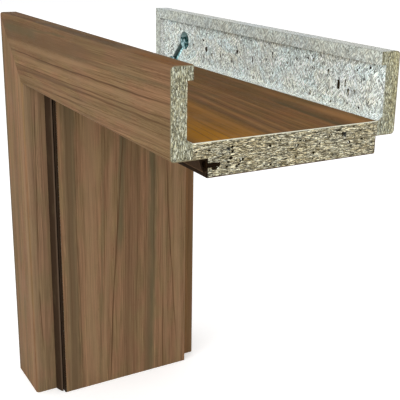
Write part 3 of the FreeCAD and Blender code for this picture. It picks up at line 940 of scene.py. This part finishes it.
def ragged_lump(seed):
    """Small jagged lump that is later sunk into a board to open a hollow."""
    lump = fresh(bpy.ops.mesh.primitive_ico_sphere_add, "lump", subdivisions=2, radius=1.0)
    open_mesh(lump)
    bpy.ops.transform.vertex_random(offset=0.34, uniform=0.4, normal=0.3, seed=seed)
    close_mesh()
    return lump


def flat_chip():
    """One loose chip: a thin sliver, narrower at one end and bent a little."""
    chip = fresh(bpy.ops.mesh.primitive_cube_add, "sliver", size=1.0)
    open_mesh(chip)
    bpy.ops.mesh.subdivide(number_cuts=1)
    bpy.ops.transform.vertex_random(offset=0.16, uniform=0.3, seed=5)
    close_mesh()
    for vertex in chip.data.vertices:
        if vertex.co.x > 0.3:
            vertex.co.y *= 0.45
            vertex.co.z *= 0.5
        vertex.co.z += 0.35 * vertex.co.x * vertex.co.x
    return chip


# Hollows that the photo shows, in mm. On the wall side: length, offset, half length, half height.
WALL_HOLLOWS = [
    (35, 23.0, 1.6, 0.9), (41, 31.0, 1.5, 2.2), (52, 35.0, 1.1, 1.6), (68, 32.0, 0.8, 2.7), (88, 35.0, 0.9, 2.0),
    (98, 26.0, 1.2, 1.7), (124, 30.0, 0.8, 2.8), (143, 15.0, 0.9, 0.9), (155, 20.0, 0.6, 1.4), (177, 25.0, 0.8, 1.2),
    (205, 17.0, 0.8, 1.1), (212, 17.5, 0.8, 1.6), (232, 24.0, 0.8, 2.2), (245, 32.0, 1.2, 3.6), (253, 29.5, 0.7, 2.6),
    (257, 35.5, 0.8, 3.0), (210, 44.0, 0.7, 2.0), (237, 46.5, 0.9, 1.3), (126, 45.0, 0.9, 1.5), (-50, 29.0, 0.8, 1.9),
    (-48, 48.0, 1.0, 1.0), (15, 30.0, 0.6, 1.1), (190, 20.0, 0.6, 1.5), (280, 14.0, 0.8, 1.0), (270, 45.0, 0.8, 1.0),
]

# On a sawn end: depth, offset, half depth, half height.
END_HOLLOWS = {
    "head_lining_board": [
        (44.6, 54.6, 0.7, 1.1), (44.9, 57.4, 1.1, 0.5), (43.8, 61.8, 1.8, 0.7), (134.6, 55.0, 0.8, 1.1),
        (139.0, 58.2, 1.5, 0.6), (140.4, 61.8, 1.6, 0.7), (74.0, 57.0, 1.0, 0.4), (110.0, 66.0, 0.9, 0.3),
        (31.6, 67.0, 2.8, 1.1), (35.0, 65.0, 0.8, 2.0), (52.0, 63.6, 1.6, 0.4), (96.0, 59.0, 1.8, 0.4),
        (152.0, 60.2, 1.5, 0.4),
    ],
    "head_front_architrave_board": [(18.4, 54.2, 1.0, 0.6), (27.6, 54.6, 1.2, 0.6)],
    "head_rear_architrave_board": [(150.5, 54.0, 1.0, 0.4)],
}

# Crumbs of board that lie in the ends of the grooves: depth, offset, half depth, half height.
END_CRUMBS = {
    "head_lining_board": [
        (42.2, 59.0, 1.2, 1.0), (41.1, 56.6, 0.5, 0.9), (42.9, 57.4, 0.5, 0.5), (137.2, 58.8, 1.0, 1.1)
    ]
}


def placed_hollows(node):
    """Centre, half sizes and least half size of each hollow: those of the photo, and small ones at random."""
    member, board = node.split("_", 1)
    sizes = bpy.context.scene.door_frame_sizes
    chance = random.Random(node + str(sizes.hollow_seed))
    end = HEAD_END if member == "head" else 0.0
    start = across(0, 0, 0, member)
    made = [
        (across(depth, offset, end, member), across(half_depth, half_offset, 0, member) - start, 1.1)
        for depth, offset, half_depth, half_offset in END_HOLLOWS.get(node, [])
    ]
    if node == "head_rear_architrave_board":
        for length, offset, half_length, half_offset in WALL_HOLLOWS:
            reach = Vector((half_length * 1.35 * MM, 0, half_offset * 1.15 * MM))
            made.append((across(REAR_HOLLOWS, offset, length, member), reach, 1.0))
    low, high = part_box(node)
    first, last = (low.x / MM, high.x / MM) if member == "head" else (low.z / MM, high.z / MM)
    level = FRONT_HOLLOWS if board.startswith("front") else REAR_HOLLOWS
    for number in range(sizes.small_hollows):
        tall = chance.uniform(0.5, 1.5)
        slim = chance.uniform(0.3, 0.7)
        if board == "lining_board":
            depth, offset = chance.uniform(38, 136), chance.uniform(51.5, 70)
            if number % 2:
                continue
            reach = across(tall * 1.1, slim * 0.6, 0, member) - start
            made.append((across(depth, offset, end, member), reach, chance.uniform(0.4, 0.8)))
        else:
            length, offset = chance.uniform(first + 6, last - 6), chance.uniform(12.5, 46)
            mitre = LEG_TOP - offset if member == "leg" else OUTER_X / MM + offset
            if length > mitre - 5 if member == "leg" else length < mitre + 5:
                continue
            reach = across(0, tall, slim, member) - start
            made.append((across(level, offset, length, member), reach, chance.uniform(0.4, 0.9)))
    return made


class DOORFRAME_OT_laminates(Operator):
    """Give each walnut sheet its figure, with the grain along its member"""

    bl_idname = "door_frame.laminates"
    bl_label = "Walnut Laminates"

    def execute(self, context):
        sheets = [name for name in sorted(frame["nodes"]) if name.endswith("_laminate")]
        if not sheets:
            raise RuntimeError("the packed frame has no laminate")
        for seed, name in enumerate(sheets, 1):
            wear(frame["nodes"][name], walnut_material(name, seed))
        return {"FINISHED"}


class DOORFRAME_OT_boards(Operator):
    """Open the hollows of each chipboard part and stand loose chips round them"""

    bl_idname = "door_frame.boards"
    bl_label = "Chipboard Parts"

    def execute(self, context):
        boards = [name for name in sorted(frame["nodes"]) if name.endswith("_board")]
        if not boards:
            raise RuntimeError("the packed frame has no board")
        self.hollow, self.splinter = hollow_material(), splinter_material()
        self.lumps, self.sliver = [ragged_lump(seed) for seed in (3, 8, 14)], flat_chip()
        for seed, name in enumerate(boards, 1):
            self.open_board(name, seed)
        for tool in (*self.lumps, self.sliver):
            bpy.data.objects.remove(tool)
        return {"FINISHED"}

    def open_board(self, name, seed):
        """Sink every hollow of one board and finish it."""
        board = copy_of(frame["nodes"][name], name + "_opened")
        for key in [k for k in board.keys() if k.startswith("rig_")]:
            del board[key]
        board.parent = None
        wear(board, chipboard_material(name, seed), self.hollow, self.splinter)
        open_mesh(board)
        bpy.ops.mesh.remove_doubles(threshold=MERGE_GAP)
        bpy.ops.mesh.customdata_custom_splitnormals_clear()
        close_mesh()
        chance = random.Random(name)
        cutters, chips = [], []
        for centre, reach, least in placed_hollows(name):
            half = Vector(max(abs(v), least * MM) for v in reach)
            cutters.append(self.cutter(chance, centre, half))
            seen = max(half) > 1.2 * MM and centre.y > FRONT_Y + 0.04
            if seen and chance.random() < 0.6:
                chips.append(self.chip(chance, centre, half))
        chips += [self.crumb(*row) for row in END_CRUMBS.get(name, [])]
        carve(board, together(cutters, "cutters"), "DIFFERENCE", use_self=True, material_mode="TRANSFER")
        if chips:
            board = together([board, *chips], name + "_opened")
        stand_in(board, name, 28)

    def cutter(self, chance, centre, half):
        """One lump, turned and stretched at its hollow's place."""
        lump = copy_of(chance.choice(self.lumps), "cut")
        lump.data.transform(Matrix.Rotation(chance.uniform(0, 6.28), 4, Vector((1, 1, 1)).normalized()))
        lump.matrix_world = Matrix.Translation(centre) @ Matrix.Diagonal((*half, 1))
        settle(lump)
        wear(lump, self.hollow)
        return lump

    def chip(self, chance, centre, half):
        """One loose chip, just under the face that its hollow opens in."""
        chip = copy_of(self.sliver, "chip")
        inward = Vector((-1, 0, 0)) if abs(centre.x - SAWN_X) < 1e-6 else Vector((0, 1, 0))
        middle = centre + inward * min(half) * 0.55
        lean = Matrix.Rotation(chance.uniform(-0.5, 0.5), 4, "X") @ Matrix.Rotation(chance.uniform(1.2, 1.9), 4, "Y")
        size = Matrix.Diagonal((max(half) * 1.3, min(half) * 0.8, 0.25 * MM, 1))
        chip.matrix_world = Matrix.Translation(middle) @ lean @ size
        settle(chip)
        for vertex in chip.data.vertices:
            vertex.co.x = min(vertex.co.x, SAWN_X - 0.00003)
            vertex.co.z = max(vertex.co.z, 0.00003)
        wear(chip, self.splinter)
        return chip

    def crumb(self, depth, offset, half_depth, half_offset):
        """One crumb of board in the end of a groove of the head."""
        crumb = copy_of(self.sliver, "crumb")
        size = Matrix.Diagonal((3 * MM, half_depth * 2 * MM, half_offset * 2 * MM, 1))
        crumb.matrix_world = Matrix.Translation(across(depth, offset, HEAD_END - 2, "head")) @ size
        settle(crumb)
        wear(crumb, self.splinter)
        return crumb


# Section of the gasket as (depth, offset, corner) in mm: foot, barbed stem, back and lip with its curled end
GASKET_OUTLINE = [
    (20.60, 60.15, 1), (26.85, 60.15, 1), (26.85, 63.95, 1), (28.35, 63.95, 1), (28.00, 63.20, 1), (29.40, 63.95, 1),
    (30.55, 63.95, 1), (30.20, 63.20, 1), (31.60, 63.95, 1), (32.75, 63.95, 1), (32.40, 63.20, 1), (33.80, 63.95, 1),
    (34.10, 64.70, 0), (33.80, 65.45, 1), (32.40, 66.20, 1), (32.75, 65.45, 1), (31.60, 65.45, 1), (30.20, 66.20, 1),
    (30.55, 65.45, 1), (29.40, 65.45, 1), (28.00, 66.20, 1), (28.35, 65.45, 1), (26.85, 65.45, 1), (26.85, 72.60, 1),
    (26.50, 73.00, 0), (26.05, 72.50, 0), (25.98, 70.00, 0), (26.10, 66.00, 0), (26.00, 62.60, 0), (25.20, 61.45, 0),
    (23.40, 61.25, 0), (22.45, 61.75, 0), (22.50, 63.20, 0), (23.10, 65.30, 0), (23.75, 66.70, 0), (24.15, 67.10, 0),
    (24.40, 66.70, 0), (24.30, 65.90, 0), (24.75, 65.75, 0), (25.15, 66.60, 0), (25.25, 67.90, 0), (24.95, 68.85, 0),
    (24.40, 69.20, 0), (23.85, 68.90, 0), (23.30, 68.00, 0), (22.50, 66.45, 0), (21.80, 64.60, 0), (21.15, 62.40, 0),
    (20.75, 60.90, 0),
]
GASKET_HOLES = [(26.45, 61.30, 0.20), (26.50, 62.80, 0.20), (26.50, 67.40, 0.18), (22.0, 60.72, 0.22)]

# How far each gasket runs past the corner before its mitre is cut, in metres
PAST_CORNER = 6 * MM


class DOORFRAME_OT_gaskets(Operator):
    """Extrude the hollow rubber gasket of each member and mitre it in the corner"""

    bl_idname = "door_frame.gaskets"
    bl_label = "Gaskets"

    def execute(self, context):
        rubber = rubber_material()
        for member, side in (("head", 1), ("leg", -1)):
            node = member + "_gasket"
            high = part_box(node)[1]
            first, last = (-PAST_CORNER, high.x) if member == "head" else (0.0, high.z + PAST_CORNER)
            piece = self.extrusion(member + "_gasket_rubber", last - first)
            self.lay(piece, member, (first + last) / 2)
            slice_off(piece, (OUTER_X, 0, TOP_Z), (side, 0, side), 0.000001, clear_inner=True)
            wear(piece, rubber)
            stand_in(piece, node, 40)
        return {"FINISHED"}

    def extrusion(self, name, length):
        """Straight length of gasket, with its section in the ground plane."""
        piece = fresh(bpy.ops.curve.primitive_bezier_circle_add, name, radius=0.01)
        piece.data.dimensions = "2D"
        piece.data.fill_mode = "BOTH"
        piece.data.extrude = length / 2
        piece.data.resolution_u = 4
        piece.data.splines.clear()
        self.loop(piece, [(d * MM, o * MM, corner) for d, o, corner in GASKET_OUTLINE])
        ring = [(math.cos(math.radians(a)), math.sin(math.radians(a))) for a in range(0, 360, 60)]
        for depth, offset, radius in GASKET_HOLES:
            self.loop(piece, [((depth + x * radius) * MM, (offset + y * radius) * MM, 0) for x, y in ring])
        only(piece)
        bpy.ops.object.convert(target="MESH")
        piece = bpy.context.object
        open_mesh(piece)
        bpy.ops.mesh.remove_doubles(threshold=MERGE_GAP)
        close_mesh()
        return piece

    def loop(self, piece, points):
        """One closed outline of the section."""
        line = piece.data.splines.new("BEZIER")
        line.bezier_points.add(len(points) - 1)
        for point, (x, y, corner) in zip(line.bezier_points, points):
            point.co = (x, y, 0)
            point.handle_left_type = point.handle_right_type = "VECTOR" if corner else "AUTO"
        line.use_cyclic_u = True

    def lay(self, piece, member, middle):
        """Turn the section so that its depth and offset run as on the frame, and move it to the member."""
        start = across(0, 0, 0, member)
        depth_way = across(1 / MM, 0, 0, member) - start
        offset_way = across(0, 1 / MM, 0, member) - start
        turn = Matrix((depth_way, offset_way, depth_way.cross(offset_way))).transposed().to_4x4()
        piece.matrix_world = Matrix.Translation(across(0, 0, middle / MM, member)) @ turn
        settle(piece)


# Sizes of the clamps, in metres: length and radius of the rod that the bolts are cut from, nut and head
# across flats, head height, height of the hexagon that both are stretched from, and their chamfer
ROD_LENGTH = 0.085
BOLT_RADIUS = 0.00247
ACROSS_FLATS = 0.008
HEAD_HEIGHT = 0.004
HEXAGON_HEIGHT = 0.004
NUT_CHAMFER = 0.00045


class DOORFRAME_OT_clamps(Operator):
    """Cut the thread of the clamp bolts, chamfer their heads and nuts, and plate all clamp parts"""

    bl_idname = "door_frame.clamps"
    bl_label = "Mitre Clamps"

    def execute(self, context):
        zinc = zinc_material()
        rod, lug = self.rod(), self.lug()
        for side in ("front", "rear"):
            for shoe in ("_clamp_head_shoe", "_clamp_leg_shoe"):
                wear(frame["nodes"][side + shoe], zinc)
            bolt_node, nut_node = side + "_clamp_bolt", side + "_clamp_nut"
            low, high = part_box(bolt_node)
            tail, tip = self.reach(bolt_node)
            head = tip - HEAD_HEIGHT
            shaft, cap = copy_of(rod, side + "_shaft"), copy_of(lug, side + "_cap")
            slice_off(shaft, (0, 0, tail), (0, 0, -1), clear_outer=True)
            slice_off(shaft, (0, 0, head + 0.001), (0, 0, 1), clear_outer=True)
            self.stretch(cap, head, tip)
            bolt = together([shaft, cap], side + "_clamp_bolt_threaded")
            nut = copy_of(lug, side + "_clamp_nut_chamfered")
            self.stretch(nut, *self.reach(nut_node))
            centre = Vector(((low.x + high.x) / 2, (low.y + high.y) / 2, (low.z + high.z) / 2))
            for piece, node in ((bolt, bolt_node), (nut, nut_node)):
                self.lay(piece, centre)
                wear(piece, zinc)
                stand_in(piece, node, 32)
        for tool in (rod, lug):
            bpy.data.objects.remove(tool)
        return {"FINISHED"}

    def along(self, point):
        """Distance of a point from the mitre plane, in metres."""
        return (point.x + point.z - OUTER_X - TOP_Z) / math.sqrt(2)

    def reach(self, node):
        """Nearest and farthest place of a packed clamp part along the clamp's axis, from the mitre."""
        places = [self.along(vertex.co) for vertex in frame["nodes"][node].data.vertices]
        return min(places), max(places)

    def rod(self):
        """Threaded rod, upright: one tooth wound up to a closed helical surface."""
        sizes = bpy.context.scene.door_frame_sizes
        turns = int(ROD_LENGTH / sizes.thread_pitch)
        rib = fresh(bpy.ops.mesh.primitive_circle_add, "rod", vertices=3, radius=0.001, fill_type="NOTHING")
        root = BOLT_RADIUS - sizes.thread_depth
        for vertex, (out, rise) in zip(rib.data.vertices, [(root, 0), (BOLT_RADIUS, 0.5), (root, 1)]):
            vertex.co = (out, 0, (rise - turns / 2) * sizes.thread_pitch)
            vertex.select = vertex.index != 1
        for edge in rib.data.edges:
            edge.select = set(edge.vertices) == {0, 2}
        bpy.ops.object.mode_set(mode="EDIT")
        bpy.ops.mesh.select_mode(type="EDGE")
        bpy.ops.mesh.delete(type="EDGE_FACE")
        close_mesh()
        wind = rib.modifiers.new("wind", "SCREW")
        wind.axis = "Z"
        wind.screw_offset = sizes.thread_pitch
        wind.iterations = turns
        wind.steps = wind.render_steps = 20
        apply_all(rib)
        open_mesh(rib)
        bpy.ops.mesh.remove_doubles(threshold=MERGE_GAP)
        bpy.ops.mesh.normals_make_consistent(inside=False)
        close_mesh()
        return rib

    def lug(self):
        """Hexagon with turned corners, upright, later stretched to its height."""
        corner = ACROSS_FLATS / math.sqrt(3)
        bar = bpy.ops.mesh.primitive_cylinder_add
        turn = (0, 0, math.radians(30))
        hexagon = fresh(bar, "hexagon", vertices=6, radius=corner, depth=HEXAGON_HEIGHT, rotation=turn)
        bpy.ops.object.transform_apply(location=False, rotation=True, scale=False)
        round_bar = fresh(bar, "round", vertices=48, radius=corner * 0.995, depth=HEXAGON_HEIGHT)
        bevel_ends(round_bar, NUT_CHAMFER, 1)
        carve(hexagon, round_bar, "INTERSECT")
        return hexagon

    def stretch(self, lug, low, high):
        """Move the two halves of a hexagon to its ends, so its chamfers keep their size."""
        half = HEXAGON_HEIGHT / 2
        for vertex in lug.data.vertices:
            vertex.co.z += high - half if vertex.co.z > 0 else low + half

    def lay(self, piece, centre):
        """Lay an upright clamp part on its axis across the mitre."""
        foot = centre - Vector((1, 0, 1)).normalized() * self.along(centre)
        piece.matrix_world = Matrix.Translation(foot) @ Matrix.Rotation(math.radians(45), 4, "Y")
        settle(piece)


# Sizes of a dowel, in metres
DOWEL_RADIUS = 0.00297
DOWEL_LENGTH = 0.0238
DOWEL_ROUNDING = 0.0006
FLUTE_GAP = 0.00006
FLUTE_DEPTH = 0.00018


class DOORFRAME_OT_dowels(Operator):
    """Flute the beech dowels and round their ends"""

    bl_idname = "door_frame.dowels"
    bl_label = "Dowels"

    def execute(self, context):
        nodes = [name for name in sorted(frame["nodes"]) if name.startswith("lining_dowel_")]
        if not nodes:
            raise RuntimeError("the packed frame has no dowel")
        beech, model = beech_material(), self.model()
        for name in nodes:
            low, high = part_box(name)
            piece = copy_of(model, name + "_fluted")
            piece.matrix_world = Matrix.Translation((low + high) / 2) @ Matrix.Rotation(math.radians(45), 4, "Y")
            wear(piece, beech)
            settle(piece)
            stand_in(piece, name, 40)
        bpy.data.objects.remove(model)
        return {"FINISHED"}

    def model(self):
        """One dowel, upright at the origin."""
        bar = bpy.ops.mesh.primitive_cylinder_add
        piece = fresh(bar, "dowel", vertices=40, radius=DOWEL_RADIUS, depth=DOWEL_LENGTH)
        bevel_ends(piece, DOWEL_ROUNDING, 2)
        pick_faces(piece, self.fluted)
        bpy.ops.mesh.inset(thickness=FLUTE_GAP, use_individual=True)
        bpy.ops.transform.shrink_fatten(value=-FLUTE_DEPTH)
        close_mesh()
        return piece

    def fluted(self, face):
        """Whether a face is on every second strip of the side."""
        angle = math.degrees(math.atan2(face.center.y, face.center.x))
        return face.area > 5e-6 and abs(face.normal.z) < 0.5 and angle % 18 < 9


class DOORFRAME_OT_stage(Operator):
    """Set the camera at the photo's place, with a pale floor and soft lamps"""

    bl_idname = "door_frame.stage"
    bl_label = "Camera, Lamps and Floor"

    def execute(self, context):
        stage = context.scene.door_frame_stage
        context.scene.view_settings.view_transform = "Standard"
        self.camera(context, stage)
        self.floor(stage)
        self.sky(context, stage)
        self.lamps(stage)
        return {"FINISHED"}

    def camera(self, context, stage):
        """Camera with the photo's view."""
        camera = fresh(bpy.ops.object.camera_add, "photo_camera", location=stage.camera_place)
        right, down = Vector(stage.camera_right).normalized(), Vector(stage.camera_down)
        up = -(down - right * down.dot(right)).normalized()
        turn = Matrix((right, up, right.cross(up))).transposed()
        camera.matrix_world = Matrix.Translation(stage.camera_place) @ turn.to_4x4()
        camera.data.sensor_width = 36
        camera.data.lens = stage.lens
        camera.data.shift_x, camera.data.shift_y = stage.shift
        context.scene.camera = camera

    def floor(self, stage):
        """Plain pale floor, white to the camera but for the object's shadow."""
        floor = fresh(bpy.ops.mesh.primitive_plane_add, "floor", size=stage.floor_size)
        made = bpy.data.materials.new("pale_floor")
        made.use_nodes = True
        made.node_tree.nodes.clear()
        desk = Desk(made.node_tree)
        ray = desk.wires(desk.put("LightPath"))
        seen = desk.calc("MAXIMUM", ray["Is Camera Ray"], ray["Is Glossy Ray"])
        matt = desk.take("BsdfDiffuse", {"Color": tint("floor")})
        lift = desk.take("Emission", {"Color": (1, 1, 1), "Strength": seen * 0.36})
        desk.put("OutputMaterial", {"Surface": desk.take("AddShader", {0: matt, 1: lift})})
        wear(floor, made)

    def sky(self, context, stage):
        """Even light from all round, seen as plain white."""
        world = bpy.data.worlds.new("plain_sky")
        world.use_nodes = True
        world.node_tree.nodes.clear()
        desk = Desk(world.node_tree)
        ray = desk.wires(desk.put("LightPath"))
        seen = desk.calc("MAXIMUM", ray["Is Glossy Ray"], ray["Is Transmission Ray"])
        strength = desk.mix(desk.calc("MAXIMUM", ray["Is Camera Ray"], seen), stage.sky, 1.0, "FLOAT")
        white = desk.take("Background", {"Color": (1, 1, 1), "Strength": strength})
        desk.put("OutputWorld", {"Surface": white})
        context.scene.world = world

    def lamps(self, stage):
        """A large soft lamp in front and above, and a weaker one to the right."""
        target = Vector((0.08, 0.06, 0.2))
        for name, place, size, power in (
            ("front_lamp", (0.62, -1.60, 1.50), 1.1, stage.key),
            ("side_lamp", (2.0, -0.9, 1.2), 1.4, stage.key * 0.55),
        ):
            lamp = fresh(bpy.ops.object.light_add, name, type="AREA", location=place)
            lamp.data.size = size
            lamp.data.energy = power
            lamp.rotation_euler = (target - Vector(place)).to_track_quat("-Z", "Y").to_euler()


OPERATORS = (
    DOORFRAME_OT_stage, DOORFRAME_OT_laminates, DOORFRAME_OT_boards,
    DOORFRAME_OT_gaskets, DOORFRAME_OT_clamps, DOORFRAME_OT_dowels,
)


class DOORFRAME_PT_panel(Panel):
    """Sidebar panel with each step of the dressing"""

    bl_label = "Door Frame Corner"
    bl_idname = "DOORFRAME_PT_panel"
    bl_space_type = "VIEW_3D"
    bl_region_type = "UI"
    bl_category = "Door Frame"

    def draw(self, context):
        for operator in OPERATORS:
            self.layout.operator(operator.bl_idname)
        for settings in ("door_frame_sizes", "door_frame_stage", "door_frame_colours"):
            box = self.layout.box()
            group = getattr(context.scene, settings)
            for name in group.__annotations__:
                box.prop(group, name)


CLASSES = (DoorFrameColours, DoorFrameSizes, DoorFrameStage, *OPERATORS, DOORFRAME_PT_panel)


def register():
    """Make the settings, the operators and the panel known."""
    for item in CLASSES:
        bpy.utils.register_class(item)
    bpy.types.Scene.door_frame_colours = PointerProperty(type=DoorFrameColours)
    bpy.types.Scene.door_frame_sizes = PointerProperty(type=DoorFrameSizes)
    bpy.types.Scene.door_frame_stage = PointerProperty(type=DoorFrameStage)


def unregister():
    """Take the settings, the operators and the panel away again."""
    del bpy.types.Scene.door_frame_stage
    del bpy.types.Scene.door_frame_sizes
    del bpy.types.Scene.door_frame_colours
    for item in reversed(CLASSES):
        bpy.utils.unregister_class(item)


def main():
    """Dress the frame step by step."""
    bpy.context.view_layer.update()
    register()
    bpy.ops.door_frame.stage()
    bpy.ops.door_frame.laminates()
    bpy.ops.door_frame.boards()
    bpy.ops.door_frame.gaskets()
    bpy.ops.door_frame.clamps()
    bpy.ops.door_frame.dowels()


if __name__ == "__main__":
    main()
